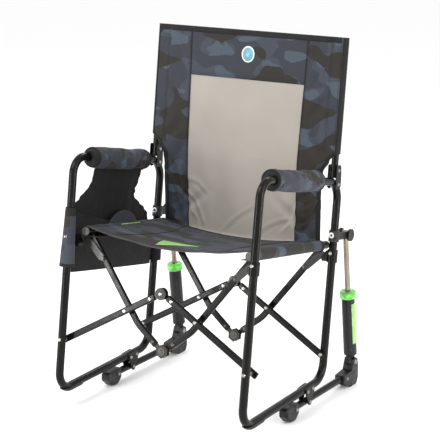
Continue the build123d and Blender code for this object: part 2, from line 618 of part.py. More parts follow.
with BuildPart() as back_cloth:
    crease_v, foot_v = post_v(CREASE_W) - POST_R - 0.3, BACK_FOOT_V + CLOTH
    foot_slope = (foot_v - crease_v) / (CREASE_W - BACK_W[0])
    face = [(post_v(BACK_W[1]) - POST_R - 0.3, BACK_W[1]), (crease_v, CREASE_W),
            (foot_v + foot_slope * BACK_DIP, BACK_W[0] - BACK_DIP)]
    with BuildSketch(beside(-LOOP_X)):
        with BuildLine():
            Polyline(face + [(v - CLOTH, w) for v, w in reversed(face)], close=True)
        make_face()
    extrude(amount=2 * LOOP_X)
    with BuildSketch(across(-60)):
        with BuildLine():
            for sx in SIDES.values():
                Polyline((0, BACK_W[1] + 5), (sx * (LOOP_X + 5), BACK_W[1] + 5), (sx * (LOOP_X + 5), SLEEVE_W),
                         (sx * 262, 662), (sx * 250, 625), (sx * 247, BACK_W[0]), (sx * 200, BACK_W[0] - 20),
                         (sx * 100, BACK_W[0] - 30), (0, BACK_W[0] - BACK_DIP))
        make_face()
    extrude(amount=-160, mode=Mode.INTERSECT)
    for sx in SIDES.values():
        with BuildLine(beside(sx * LOOP_X)) as sleeve_path:
            Line((post_v(SLEEVE_W), SLEEVE_W), (post_v(BACK_W[1] + 1), BACK_W[1] + 1))
        tube(sleeve_path.wires()[0], 2 * POST_R + 6.8, 2 * POST_R + 6.8, 3.1, (1, 0, 0))
back_cloth.part.label = "back_cloth"
export_step(back_cloth.part, "parts/back_cloth.step")

# ---- organiser: an open-topped cloth pouch between the legs of the left side loop ---------------------------------
with BuildPart() as organiser:
    with BuildSketch(beside(-LOOP_X - 23)):
        with BuildLine():
            Polyline(POUCH_OUTLINE, close=True)
        make_face()
    extrude(amount=31)
    with BuildSketch(beside(-LOOP_X - 20.5)):
        with BuildLine():
            Polyline(POUCH_INSIDE, close=True)
        make_face()
    extrude(amount=26, mode=Mode.SUBTRACT)
    for leg_v, low, high in ((LEG_FRONT_V, 345.0, 500.0), (LEG_REAR_V, 326.0, 388.0)):
        with BuildSketch(level(low)):
            with Locations((-LOOP_X, leg_v)):
                Circle(SLEEVE_R + 2.4)
                Circle(SLEEVE_R, mode=Mode.SUBTRACT)
            with Locations((-LOOP_X + 24, leg_v)):
                Rectangle(48, 48, mode=Mode.SUBTRACT)
        extrude(amount=high - low)
organiser.part.label = "organiser"
export_step(organiser.part, "parts/organiser.step")
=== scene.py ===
from math import cos, exp, hypot, pi, radians, sin

import bmesh
import bpy
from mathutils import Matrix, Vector, noise


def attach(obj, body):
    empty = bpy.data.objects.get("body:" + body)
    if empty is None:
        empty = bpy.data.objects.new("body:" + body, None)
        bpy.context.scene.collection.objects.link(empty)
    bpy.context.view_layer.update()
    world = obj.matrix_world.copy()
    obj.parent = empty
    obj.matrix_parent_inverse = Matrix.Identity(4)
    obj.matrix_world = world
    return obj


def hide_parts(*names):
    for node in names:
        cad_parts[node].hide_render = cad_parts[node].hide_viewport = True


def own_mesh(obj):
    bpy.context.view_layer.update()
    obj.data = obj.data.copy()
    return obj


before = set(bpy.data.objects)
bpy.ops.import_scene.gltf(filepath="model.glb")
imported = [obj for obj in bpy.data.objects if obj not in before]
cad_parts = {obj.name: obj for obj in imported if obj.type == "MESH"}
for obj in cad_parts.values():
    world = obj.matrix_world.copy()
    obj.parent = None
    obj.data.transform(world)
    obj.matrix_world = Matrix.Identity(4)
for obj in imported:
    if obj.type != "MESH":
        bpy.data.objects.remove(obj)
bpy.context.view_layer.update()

# ---- leaning frame: x across, v rearward, w up along the legs (metres) ---------------------------------
LEAN = radians(8.5)
CENTRE_Y = 0.06375
LOOP_X, LOOP_R = 0.286, 0.011
SHEET_GAP = 0.0113                       # the back's sheet stands this far in front of the post axes
POST_FOOT = (0.0195, 0.628)
BACK_LEAN = 0.0045 / 0.373               # forward drift of a post per unit of height
RAIL_X, RAIL_W = 0.253, 0.438
SEAT_FRONT, SEAT_REAR = -0.343, 0.036
SEAT_SAG = 0.024
BACK_LOW, BACK_HIGH, SLEEVE_LOW = 0.458, 1.004, 0.690
CREASE_W, BACK_FOOT_V = 0.660, 0.039    # below this height the back slants to the seat's rear edge
CLOTH = 0.0016
LEG_FRONT_V, LEG_REAR_V = -0.380, 0.050
PAD_V = (-0.316, -0.056)
SIDES = {"left": -1, "right": 1}


def at(x, v, w):
    return Vector((x, CENTRE_Y + v * cos(LEAN) + w * sin(LEAN), -v * sin(LEAN) + w * cos(LEAN)))


def post_v(w):
    return POST_FOOT[0] - (w - POST_FOOT[1]) * BACK_LEAN


def ramp(value, points):
    """Look-up in (position, value) pairs, eased from one to the next."""
    for (a, fa), (b, fb) in zip(points, points[1:]):
        if value <= b:
            t = max(0.0, (value - a) / (b - a))
            return fa + (fb - fa) * t * t * (3 - 2 * t)
    return points[-1][1]


# ---- materials ------------------------------------------------------------------------------------------
def start_material(name, **sockets):
    mat = bpy.data.materials.new(name)
    mat.use_nodes = True
    shader = mat.node_tree.nodes["Principled BSDF"]
    for key, value in sockets.items():
        shader.inputs[key.replace("_", " ")].default_value = value
    return mat, mat.node_tree, shader


def node(tree, kind, links=None, **values):
    made = tree.nodes.new("ShaderNode" + kind)
    for key, value in values.items():
        if key in made.inputs:
            made.inputs[key].default_value = value
        else:
            setattr(made, key, value)
    for key, source in (links or {}).items():
        tree.links.new(source, made.inputs[key])
    return made


def coordinates(tree, stretch=(1, 1, 1), uv=False):
    source = node(tree, "TexCoord").outputs["UV" if uv else "Object"]
    return node(tree, "Mapping", {"Vector": source}, Scale=stretch).outputs["Vector"]


def noise_fac(tree, vector, scale, detail=3.0, roughness=0.5, distortion=0.0):
    return node(tree, "TexNoise", {"Vector": vector}, Scale=scale, Detail=detail, Roughness=roughness,
                Distortion=distortion).outputs["Fac"]


def colour_ramp(tree, fac, stops, interpolation="LINEAR"):
    made = node(tree, "ValToRGB", {"Fac": fac})
    band = made.color_ramp
    band.interpolation = interpolation
    while len(band.elements) < len(stops):
        band.elements.new(0.5)
    for element, (position, colour) in zip(band.elements, stops):
        element.position = position
        element.color = (*colour, 1) if len(colour) == 3 else colour
    return made.outputs["Color"]


def grey(level):
    return (level, level, level)


def mix(tree, fac, a, b, blend="MIX"):
    made = node(tree, "Mix", data_type="RGBA", blend_type=blend)
    for index, value in ((0, fac), (6, a), (7, b)):
        if isinstance(value, bpy.types.NodeSocket):
            tree.links.new(value, made.inputs[index])
        else:
            made.inputs[index].default_value = value if index == 0 else (*value, 1)
    return made.outputs[2]


def bump(tree, height, shader, strength, distance, below=None):
    made = node(tree, "Bump", {"Height": height}, Strength=strength, Distance=distance)
    if below is not None:
        tree.links.new(below, made.inputs["Normal"])
    tree.links.new(made.outputs["Normal"], shader.inputs["Normal"])
    return made.outputs["Normal"]


def edge_wear(tree, colour, worn):
    pointy = node(tree, "NewGeometry").outputs["Pointiness"]
    patchy = noise_fac(tree, coordinates(tree), 60.0, 4.0)
    edge = colour_ramp(tree, pointy, ((0.53, grey(0)), (0.60, grey(1))))
    spots = colour_ramp(tree, patchy, ((0.45, grey(0)), (0.62, grey(1))))
    return mix(tree, mix(tree, 1.0, edge, spots, "MULTIPLY"), colour, worn)


def coated(name, dark, light, worn, rough, coat=0.25, metal=0.0, specular=0.5):
    """Powder coat or paint: fine orange peel, slow colour drift and a few rubbed spots."""
    mat, tree, shader = start_material(name, Metallic=metal, Coat_Weight=coat, Coat_Roughness=0.10,
                                       Specular_IOR_Level=specular)
    space = coordinates(tree)
    drift = noise_fac(tree, space, 7.0, 4.0)
    base = colour_ramp(tree, drift, ((0.35, dark), (0.68, light)))
    rubbed = colour_ramp(tree, noise_fac(tree, space, 38.0, 5.0, 0.62), ((0.66, grey(0)), (0.74, grey(0.6))))
    tree.links.new(mix(tree, rubbed, base, worn), shader.inputs["Base Color"])
    tree.links.new(colour_ramp(tree, noise_fac(tree, space, 45.0, 5.0), (
        (0.3, grey(rough - 0.07)), (0.7, grey(rough + 0.10)))), shader.inputs["Roughness"])
    bump(tree, noise_fac(tree, space, 900.0, 2.0), shader, 0.25, 0.0002)
    return mat


def steel(name, colour, rough, grain):
    """Bright metal with fine turning marks and faint smears."""
    mat, tree, shader = start_material(name, Metallic=1.0)
    space = coordinates(tree, grain)
    marks = noise_fac(tree, space, 420.0, 3.0)
    smear = noise_fac(tree, coordinates(tree), 30.0, 3.0)
    tree.links.new(colour_ramp(tree, smear, ((0.3, tuple(c * 0.72 for c in colour)), (0.65, colour))),
                   shader.inputs["Base Color"])
    tree.links.new(colour_ramp(tree, marks, ((0.3, grey(rough * 0.7)), (0.7, grey(rough * 1.5)))),
                   shader.inputs["Roughness"])
    bump(tree, marks, shader, 0.15, 0.0001)
    return mat


def moulded(name, colour, rough, specular=0.5):
    """Moulded plastic: a fine spark texture, flow marks and slightly polished edges."""
    mat, tree, shader = start_material(name, Specular_IOR_Level=specular)
    space = coordinates(tree)
    flow = noise_fac(tree, space, 14.0, 3.0, distortion=0.6)
    base = colour_ramp(tree, flow, ((0.3, tuple(c * 0.82 for c in colour)), (0.7, tuple(c * 1.15 for c in colour))))
    tree.links.new(edge_wear(tree, base, tuple(min(1.0, c * 1.7 + 0.02) for c in colour)),
                   shader.inputs["Base Color"])
    tree.links.new(colour_ramp(tree, noise_fac(tree, space, 90.0), (
        (0.3, grey(rough - 0.06)), (0.7, grey(rough + 0.08)))), shader.inputs["Roughness"])
    bump(tree, noise_fac(tree, space, 1500.0, 2.0), shader, 0.3, 0.00015)
    return mat


def weave_height(tree, uv, pitch):
    """Over-and-under yarns from two crossed wave textures."""
    space = coordinates(tree, (1, 1, 1), uv)
    turns = 1.0 / (pitch * 20 / pi)
    warp = node(tree, "TexWave", {"Vector": space}, wave_type="BANDS", bands_direction="X", Scale=turns,
                Distortion=0.4).outputs["Fac"]
    weft = node(tree, "TexWave", {"Vector": space}, wave_type="BANDS", bands_direction="Y" if uv else "Z",
                Scale=turns, Distortion=0.4).outputs["Fac"]
    return mix(tree, 1.0, warp, weft, "DIFFERENCE")


def creases(tree, shader, below, strength):
    """Soft handling creases, wider than the weave."""
    space = coordinates(tree)
    soft = noise_fac(tree, space, 16.0, 4.0, 0.55, 0.8)
    return bump(tree, soft, shader, strength, 0.004, below)


def cloth(name, base, uv, rough=0.8, pitch=0.0011, crease=0.25, sheen=0.05):
    mat, tree, shader = start_material(name, Sheen_Weight=sheen, Sheen_Roughness=0.5, Specular_IOR_Level=0.22)
    yarn = weave_height(tree, uv, pitch)
    slub = noise_fac(tree, coordinates(tree), 260.0, 2.0)
    if callable(base):
        colour = base(tree, uv)
    else:
        drift = noise_fac(tree, coordinates(tree), 9.0, 3.0)
        colour = colour_ramp(tree, drift, ((0.3, tuple(c * 0.8 for c in base)), (0.7, tuple(c * 1.2 for c in base))))
    shade = colour_ramp(tree, yarn, ((0.0, grey(0.72)), (1.0, grey(1.08))))
    colour = mix(tree, 1.0, colour, shade, "MULTIPLY")
    colour = mix(tree, 0.35, colour, colour_ramp(tree, slub, ((0.3, grey(0.6)), (0.7, grey(1.3)))), "MULTIPLY")
    tree.links.new(colour, shader.inputs["Base Color"])
    tree.links.new(colour_ramp(tree, slub, ((0.3, grey(rough - 0.08)), (0.7, grey(rough + 0.08)))),
                   shader.inputs["Roughness"])
    first = bump(tree, yarn, shader, 0.35, 0.0004)
    creases(tree, shader, first, crease)
    return mat


def camouflage(tree, uv):
    """Broad rounded patches in four muted blues and browns, longer across than tall."""
    space = coordinates(tree, (1.0, 1.75, 1.75), uv)
    field = noise_fac(tree, space, 9.0, 1.4, 0.38, 0.3)
    other = noise_fac(tree, node(tree, "Mapping", {"Vector": space}, Location=(3.1, 7.7, 1.9)).outputs["Vector"],
                      10.5, 1.6, 0.42, 0.3)
    third = noise_fac(tree, node(tree, "Mapping", {"Vector": space}, Location=(8.3, 2.1, 5.2)).outputs["Vector"],
                      7.7, 1.2, 0.38, 0.25)
    colour = (0.040, 0.043, 0.055)
    for layer, level, patch_colour in ((field, 0.525, (0.052, 0.058, 0.074)), (other, 0.575, (0.066, 0.084, 0.106)),
                                       (third, 0.545, (0.030, 0.0265, 0.023))):
        mask = colour_ramp(tree, layer, ((0.0, grey(0)), (level, grey(0)), (level + 0.01, grey(1))))
        colour = mix(tree, mask, colour, patch_colour)
    return colour


def open_mesh(name, light, dark):
    """Knitted mesh: rows of small dark openings between pale strands."""
    mat, tree, shader = start_material(name, Sheen_Weight=0.2, Specular_IOR_Level=0.3)
    space = coordinates(tree, (1, 1, 1), True)
    cells = node(tree, "TexVoronoi", {"Vector": space}, voronoi_dimensions="2D", Scale=430.0,
                 Randomness=0.12).outputs["Distance"]
    drift = noise_fac(tree, space, 6.0, 3.0)
    pale = colour_ramp(tree, drift, ((0.3, tuple(c * 0.93 for c in light)), (0.7, tuple(c * 1.05 for c in light))))
    hole = colour_ramp(tree, cells, ((0.14, grey(1)), (0.30, grey(0))))
    tree.links.new(mix(tree, mix(tree, 1.0, hole, grey(0.55), "MULTIPLY"), pale, dark), shader.inputs["Base Color"])
    tree.links.new(colour_ramp(tree, drift, ((0.3, grey(0.72)), (0.7, grey(0.84)))), shader.inputs["Roughness"])
    first = bump(tree, cells, shader, 0.4, 0.0005)
    creases(tree, shader, first, 0.20)
    return mat


POWDER = coated("powder_coat", (0.003, 0.0027, 0.0024), (0.006, 0.0054, 0.0047), (0.034, 0.030, 0.025), 0.22, 0.04,
                specular=0.16)
PLATE = coated("plate_coat", (0.009, 0.0083, 0.0075), (0.017, 0.016, 0.0145), (0.07, 0.063, 0.055), 0.30, 0.1, 0.0, 0.3)
BARE = coated("plate_bright", (0.020, 0.019, 0.0175), (0.038, 0.036, 0.033), (0.14, 0.13, 0.12), 0.34, 0.1, 0.2, 0.3)
BLACK = moulded("plastic_black", (0.007, 0.007, 0.0068), 0.42, 0.25)
GREYCAP = moulded("plastic_grey", (0.050, 0.049, 0.047), 0.45)
LIME = moulded("plastic_lime", (0.125, 0.50, 0.070), 0.36)
WASHER = steel("washer_zinc", (0.86, 0.86, 0.84), 0.3, (1, 1, 1))
BODY = coated("shock_paint", (0.010, 0.010, 0.0105), (0.018, 0.018, 0.0185), (0.07, 0.07, 0.07), 0.30, 0.1, 0.0, 0.25)
RIVET = steel("rivet_steel", (0.33, 0.315, 0.29), 0.28, (1, 1, 1))
HINGE = steel("hinge_steel", (0.085, 0.080, 0.072), 0.32, (1, 1, 1))
ROD = steel("rod_chrome", (0.34, 0.285, 0.225), 0.14, (1, 1, 14))
CAMO = cloth("camo_cloth", camouflage, True)
CAMO_PAD = cloth("camo_cloth_pad", camouflage, False, crease=0.15)
DARK = cloth("pouch_cloth", (0.011, 0.0105, 0.0105), True, rough=0.74, crease=0.5)
BINDING = cloth("edge_binding", (0.010, 0.0098, 0.0095), True, rough=0.68, pitch=0.0022, crease=0.1)
HEM = cloth("hem_binding", (0.060, 0.056, 0.052), True, rough=0.75, pitch=0.0022, crease=0.1)
THREAD = cloth("thread_black", (0.006, 0.006, 0.006), False, rough=0.6, pitch=0.0008, crease=0.0)
MESH = open_mesh("mesh_cloth", (0.345, 0.315, 0.280), (0.12, 0.11, 0.097))
PRINT = moulded("lime_print", (0.30, 0.58, 0.15), 0.6)
PATCH = moulded("patch_blue", (0.12, 0.29, 0.37), 0.6)
PATCH_RIM = moulded("patch_rim", (0.72, 0.76, 0.72), 0.5)

CAD_LOOKS = {
    "crown_plates": PLATE, "keel_plates": PLATE, "rail_plates": BARE, "front_glide": BLACK, "front_boot": BLACK,
    "rear_knuckle": BLACK, "shock_mount": BLACK, "shock_eye": BLACK, "rail_caps": GREYCAP, "loop_rivets": RIVET,
    "cross_rivets": RIVET, "vee_rivets": HINGE, "base_pins": RIVET, "shock_cylinder": BODY, "shock_collar": LIME,
    "shock_rod": ROD}
for name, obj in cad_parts.items():
    look = CAD_LOOKS.get(name.rsplit("_", 1)[0], POWDER)
    obj.data.materials.clear()
    obj.data.materials.append(look)


# ---- mesh helpers ---------------------------------------------------------------------------------------
def finish_mesh(name, vertices, faces, mat, uvs=None, smooth=True):
    data = bpy.data.meshes.new(name)
    data.from_pydata([tuple(p) for p in vertices], [], faces)
    if uvs:
        layer = data.uv_layers.new(name="cloth_m")
        for loop in data.loops:
            layer.data[loop.index].uv = uvs[loop.vertex_index]
    bm = bmesh.new()
    bm.from_mesh(data)
    bmesh.ops.recalc_face_normals(bm, faces=bm.faces)
    bm.to_mesh(data)
    bm.free()
    data.polygons.foreach_set("use_smooth", [smooth] * len(data.polygons))
    data.materials.append(mat)
    obj = bpy.data.objects.new(name, data)
    bpy.context.scene.collection.objects.link(obj)
    return obj


def grid(name, surface, across, along, mat, thick=CLOTH, closed=False, flat=None):
    """A cloth sheet from surface(s, t) with s and t from 0 to 1; uv is in metres of flat cloth."""
    points = [surface(i / across, j / along) for j in range(along + 1)
              for i in range(across if closed else across + 1)]
    row = across if closed else across + 1
    faces = [(j * row + i, j * row + (i + 1) % row, (j + 1) * row + (i + 1) % row, (j + 1) * row + i)
             for j in range(along) for i in range(across)]
    width, height = flat or ((points[row - 1] - points[0]).length, (points[-row] - points[0]).length)
    uvs = [(i / across * width, j / along * height) for j in range(along + 1) for i in range(row)]
    if not flat:
        uvs = [(p.x, p.z) for p in points]
    obj = finish_mesh(name, points, faces, mat, uvs)
    if thick:
        solid = obj.modifiers.new("thickness", "SOLIDIFY")
        solid.thickness, solid.offset = thick, 0.0
        solid.use_even_offset = True
    return obj


def rope(name, points, radius, mat, sides=8):
    """A round cord along points, such as piping."""
    vertices, faces, uvs = [], [], []
    count = len(points)
    length = 0.0
    for k, p in enumerate(points):
        before, after = points[max(0, k - 1)], points[min(count - 1, k + 1)]
        run = (after - before).normalized()
        side = run.cross(Vector((0.31, 0.87, 0.39))).normalized()
        lift = run.cross(side)
        length += (p - before).length
        for a in range(sides):
            t = 2 * pi * a / sides
            vertices.append(p + side * (radius * cos(t)) + lift * (radius * sin(t)))
            uvs.append((length, a / sides * 2 * pi * radius))
    for k in range(count - 1):
        for a in range(sides):
            b = (a + 1) % sides
            faces.append((k * sides + a, k * sides + b, (k + 1) * sides + b, (k + 1) * sides + a))
    faces.append(tuple(range(sides)))
    faces.append(tuple(range((count - 1) * sides, count * sides)))
    return finish_mesh(name, vertices, faces, mat, uvs)


def stitches(name, lines, mat, pitch=0.0065, length=0.0042, radius=0.00045):
    """Separate thread stitches along each line of points."""
    vertices, faces = [], []
    for points in lines:
        travelled, due = 0.0, pitch
        for a, b in zip(points, points[1:]):
            span = (b - a).length
            while span > 1e-9 and travelled + span >= due:
                p = a.lerp(b, (due - travelled) / span)
                run = (b - a).normalized()
                side = run.cross(Vector((0.31, 0.87, 0.39))).normalized()
                lift = run.cross(side)
                base = len(vertices)
                for along, size in ((-0.5, 0.3), (-0.3, 1.0), (0.3, 1.0), (0.5, 0.3)):
                    for k in range(6):
                        t = k * pi / 3
                        vertices.append(p + run * (along * length) + (side * cos(t) + lift * sin(t)) * (radius * size))
                for ring in range(3):
                    for k in range(6):
                        n = (k + 1) % 6
                        faces.append((base + ring * 6 + k, base + ring * 6 + n, base + ring * 6 + 6 + n,
                                      base + ring * 6 + 6 + k))
                faces.append(tuple(base + k for k in range(6)))
                faces.append(tuple(base + 18 + k for k in range(6)))
                due += pitch
            travelled += span
    return finish_mesh(name, vertices, faces, mat)


def wavy(x, w, scale, seed):
    return noise.noise(Vector((x * scale, w * scale, seed)))


back_pieces, seat_pieces = [], []

# ---- back: one taut panel sewn from a mesh window, a top panel and two side panels -------------------
OUTLINE = ((0.458, 0.247), (0.610, 0.2485), (0.640, 0.252), (0.672, 0.270), (0.694, 0.286), (1.010, 0.286))


# fans of folds from the waist and from beside the mesh's lower corners: x, w, direction, height, half width,
# centre along the fold, half length and spacing
PULLS = ((0.245, 0.625, 0.64, -0.77, 0.0030, 0.035, 0.07, 0.09, 0.011),
         (0.165, 0.505, 0.8, 0.6, 0.0052, 0.022, 0.0, 0.055, 0.009))
# creases where the back is pulled over the seat: start (x, w), end (x, w), height
CREASES = (((-0.170, 0.535), (-0.125, 0.462), 0.0036), ((-0.165, 0.575), (-0.120, 0.550), 0.0022),
           ((-0.060, 0.440), (0.030, 0.515), 0.0026), ((0.055, 0.450), (0.150, 0.500), 0.0024),
           ((-0.155, 0.478), (-0.140, 0.440), 0.0026), ((0.168, 0.520), (0.140, 0.470), 0.0030),
           ((-0.230, 0.640), (-0.190, 0.560), 0.0028), ((-0.240, 0.590), (-0.195, 0.500), 0.0024),
           ((0.235, 0.640), (0.190, 0.575), 0.0030), ((0.240, 0.560), (0.195, 0.530), 0.0028),
           ((0.238, 0.520), (0.185, 0.480), 0.0026), ((-0.270, 0.985), (-0.215, 0.940), 0.0022),
           ((0.272, 0.985), (0.235, 0.900), 0.0024), ((0.270, 0.800), (0.205, 0.835), 0.0018))


def half_width(w):
    return ramp(w, OUTLINE)


def window(w):
    return 0.172 + (w - 0.466) * 0.0223


def lowest(x):
    """The lower edge of the back, which tucks in behind the seat's rear edge."""
    share = min(1.0, abs(x) / RAIL_X)
    return RAIL_W + LOOP_R + 0.0024 - SEAT_SAG * (1 - share ** 2) - 0.009


def back_v(w):
    """Middle of the sheet: in front of the posts, then slanting to the seat's rear edge below the waist."""
    slope = (BACK_FOOT_V - post_v(CREASE_W) + SHEET_GAP) / (CREASE_W - BACK_LOW)
    below = CREASE_W - w
    return post_v(w) - SHEET_GAP + (slope - BACK_LEAN) * 0.5 * (below + hypot(below, 0.02))


def back_point(x, w, lift=0.0):
    """Front sheet of the back, with the folds a stretched panel takes above its waist."""
    if w < 0.60:
        w = 0.60 - (0.60 - w) * (0.60 - lowest(x)) / (0.60 - BACK_LOW)
    half = half_width(w)
    share = min(1.0, abs(x) / half)
    v = back_v(w) + 0.004 * (1 - share ** 2) * sin(pi * (w - BACK_LOW) / (BACK_HIGH - BACK_LOW))
    v += 0.0012 * wavy(x, w, 9.0, 2.0) + 0.0006 * wavy(x, w, 26.0, 5.0)
    inner = window(w)
    if abs(x) > inner:
        t = (abs(x) - inner) / max(0.01, half - inner)
        v += 0.0030 * sin(pi * t) * sin(2 * pi * (t * 1.6 + 1.6 * wavy(0.2, w, 6.0, 9.0)))
    for sx in (-1, 1):
        for x0, w0, cos_a, sin_a, height, width, centre, reach, pitch in PULLS:
            dx, dw = sx * x - x0, w - w0
            along, across = dw * sin_a - dx * cos_a, dx * sin_a + dw * cos_a
            v += (height * exp(-(across / width) ** 2) * exp(-((along - centre) / reach) ** 2)
                  * cos(across / pitch))
    for (x0, w0), (x1, w1), height in CREASES:
        run_x, run_w = x1 - x0, w1 - w0
        length = hypot(run_x, run_w)
        along = ((x - x0) * run_x + (w - w0) * run_w) / length
        across = ((x - x0) * run_w - (w - w0) * run_x) / length + 0.006 * sin(pi * along / length)
        fade = exp(-(max(0.0, -along, along - length) / 0.016) ** 2)
        v -= height * fade * (exp(-(across / 0.0042) ** 2) - 0.7 * exp(-((across - 0.0095) / 0.006) ** 2))
    v -= 0.0012 * exp(-((abs(x) - 0.256) / 0.004) ** 2) * (-1 if w > SLEEVE_LOW else 0)
    return at(x, v - lift, w)


TOP_W = 0.869


def side_panel(sx):
    def surface(s, t):
        w = BACK_LOW + t * (BACK_HIGH - 0.001 - BACK_LOW)
        inner = window(w)
        return back_point(sx * (inner + s * (half_width(w) - inner)), w)
    return surface


def sleeve(sx):
    """Round the outside of the post and back to its seam behind the panel."""
    def surface(s, t):
        w = SLEEVE_LOW + 0.004 + t * (BACK_HIGH - SLEEVE_LOW - 0.006)
        v0 = post_v(w)
        r = SHEET_GAP
        soft = 0.0004 * wavy(s * 0.05, w, 40.0, 3.0)
        if s < 0.62:
            angle = -pi / 2 + pi * s / 0.62
            return at(sx * (LOOP_X + (r + soft) * cos(angle)), v0 + (r + soft) * sin(angle), w)
        k = (s - 0.62) / 0.38
        back = v0 + r * (1 - k) - 0.0075 * k + 0.001 * sin(pi * k)
        return at(sx * (LOOP_X - 0.032 * k), back, w)
    return surface




def middle_panel(low, high, overlap, lift):
    """Part of the back between its two long seams, from low to high."""
    def surface(s, t):
        w = low + t * (high - low)
        return back_point((2 * s - 1) * (window(w) + overlap), w, lift)
    return surface


mesh_panel = grid("mesh_back_panel", middle_panel(0.46, TOP_W + 0.004, 0.004, -0.0014), 84, 92, MESH, 0.0010)
top_panel = grid("cloth_back_top", middle_panel(TOP_W, BACK_HIGH - 0.001, 0.0, 0.0), 84, 32, CAMO)
back_pieces += [mesh_panel, top_panel]
side_panels = {}
for side, sx in SIDES.items():
    side_panels[side] = grid(f"cloth_back_side_{side}", side_panel(sx), 26, 120, CAMO)
    wrap = grid(f"cloth_post_sleeve_{side}", sleeve(sx), 26, 70, CAMO)
    piping = rope(f"seam_piping_{side}", [back_point(sx * window(w), w, 0.0011) for w in
                                         (BACK_LOW + k * (BACK_HIGH - BACK_LOW - 0.004) / 110 for k in range(111))],
                  0.0011, BINDING)

    def outer_edge(s, t, sx=sx):
        # binding folded over the outer edge, along the sleeve above and the cut edge below
        w = BACK_LOW + t * (BACK_HIGH - BACK_LOW)
        v0 = post_v(w)
        if w >= SLEEVE_LOW:
            angle = radians(-78 + 110 * s)
            return at(sx * (LOOP_X + 0.0124 * cos(angle)), v0 + 0.0124 * sin(angle), w)
        half = half_width(w)
        turn = 2 * pi * s * 0.5 - pi / 2
        edge = back_point(sx * half, w)
        return edge + at(sx * 0.0022 * cos(turn) - sx * 0.009 * abs(2 * s - 1), 0.0022 * sin(turn), 0) - at(0, 0, 0)
    strip = grid(f"binding_side_{side}", outer_edge, 12, 130, BINDING, 0.0012)

    def cap(s, t, sx=sx):
        reach, angle = 0.0118 * sin(t * pi / 2), 2 * pi * s
        rise = BACK_HIGH - 0.0035 + 0.0032 * cos(t * pi / 2)
        return at(sx * LOOP_X + reach * cos(angle), post_v(rise) + reach * sin(angle), rise)
    corner = grid(f"binding_corner_{side}", cap, 28, 8, BINDING, 0.0010, True)
    back_pieces += [side_panels[side], wrap, piping, strip, corner]


def top_binding(s, t):
    """Band folded over the top edge: 12 mm down the front, over, and down behind."""
    x = (2 * t - 1) * (LOOP_X - 0.002)
    path = (2 * s - 1)
    w = BACK_HIGH - 0.0022 - 0.0125 * max(0.0, abs(path) - 0.12) / 0.88
    edge = back_point(x, min(w, BACK_HIGH - 0.001))
    half = 0.0019 if abs(path) > 0.12 else 0.0019 * abs(path) / 0.12
    return edge + at(0, half * (1 if path > 0 else -1), 0.0018 * max(0.0, 1 - abs(path) / 0.12)) - at(0, 0, 0)


back_pieces.append(grid("binding_top", top_binding, 18, 120, BINDING, 0.0010))
seam_rows = []
steps = [k / 120 for k in range(121)]
for sx in (-1, 1):
    seam_rows.append([back_point(sx * (window(w) + 0.0045), w, 0.0010)
                      for w in (BACK_LOW + 0.014 + k * (BACK_HIGH - BACK_LOW - 0.030) for k in steps)])
    for offset in (0.2545, 0.2585):
        seam_rows.append([back_point(sx * offset, w, 0.0010)
                          for w in (SLEEVE_LOW + 0.01 + k * (BACK_HIGH - SLEEVE_LOW - 0.028) for k in steps)])
for w in (TOP_W + 0.0035, TOP_W + 0.0085, BACK_HIGH - 0.0155, BACK_HIGH - 0.0105):
    reach = window(TOP_W) if w < 0.9 else 0.284
    seam_rows.append([back_point((2 * k - 1) * reach, w, 0.0022 if w > BACK_HIGH - 0.012 else 0.0010) for k in steps])
back_pieces.append(stitches("stitching_back", seam_rows, THREAD))


def patch(name, radius_x, radius_w, lift, mat):
    """A plain oval sewn patch at the top of the back."""
    def surface(s, t):
        angle = 2 * pi * s
        ring = t ** 0.6
        dome = lift - 0.0006 * ring ** 6
        return back_point(radius_x * ring * cos(angle), 0.938 + radius_w * ring * sin(angle), dome)
    return grid(name, surface, 48, 8, mat, 0.0008, True)


back_pieces += [patch("patch_rim", 0.0200, 0.0225, 0.0017, PATCH_RIM),
                patch("patch_face", 0.0165, 0.0190, 0.0023, PATCH)]


# ---- seat: a sling between the rails, wrapped round each rail ---------------------------------------
WRAP_R = LOOP_R + 0.0024
SEAT_SPAN = 2 * RAIL_X
WRAP = WRAP_R * pi * 1.02
TAIL = 0.030
SEAT_PATH = SEAT_SPAN + 2 * (WRAP + TAIL)


def seat_point(distance, v, lift=0.0):
    """A point at that distance along the cloth across the seat, from its middle."""
    side = 1 if distance >= 0 else -1
    d = abs(distance)
    front = max(0.0, 1 - (v - SEAT_FRONT) / 0.06)
    if d <= RAIL_X:
        x, share = d, d / RAIL_X
        sag = (SEAT_SAG + 0.005 * front) * (1 - share ** 2)
        w = RAIL_W + WRAP_R - sag - 0.003 * (1 - share ** 2) * sin(pi * (v - SEAT_FRONT) / (SEAT_REAR - SEAT_FRONT))
        w += 0.0010 * wavy(side * x, v, 11.0, 4.0) * (1 - share ** 4)
        w += 0.0022 * exp(-((d - 0.215 + 0.10 * front) / 0.03) ** 2) * cos((v - SEAT_FRONT) / 0.010) * front
        return at(side * x, v, w + lift)
    over = (d - RAIL_X) / WRAP_R
    if over <= pi * 1.02:
        r = WRAP_R + lift + 0.0003 * wavy(d, v, 30.0, 6.0)
        return at(side * (RAIL_X + r * sin(over)), v, RAIL_W + r * cos(over))
    left = d - RAIL_X - WRAP
    return at(side * (RAIL_X - left), v, RAIL_W - WRAP_R - lift + 0.0008 * sin(left / TAIL * pi))


def seat_surface(v0, v1, d0=-SEAT_PATH / 2, d1=SEAT_PATH / 2, lift=0.0):
    return lambda s, t: seat_point(d0 + (d1 - d0) * s, v0 + (v1 - v0) * t, lift)


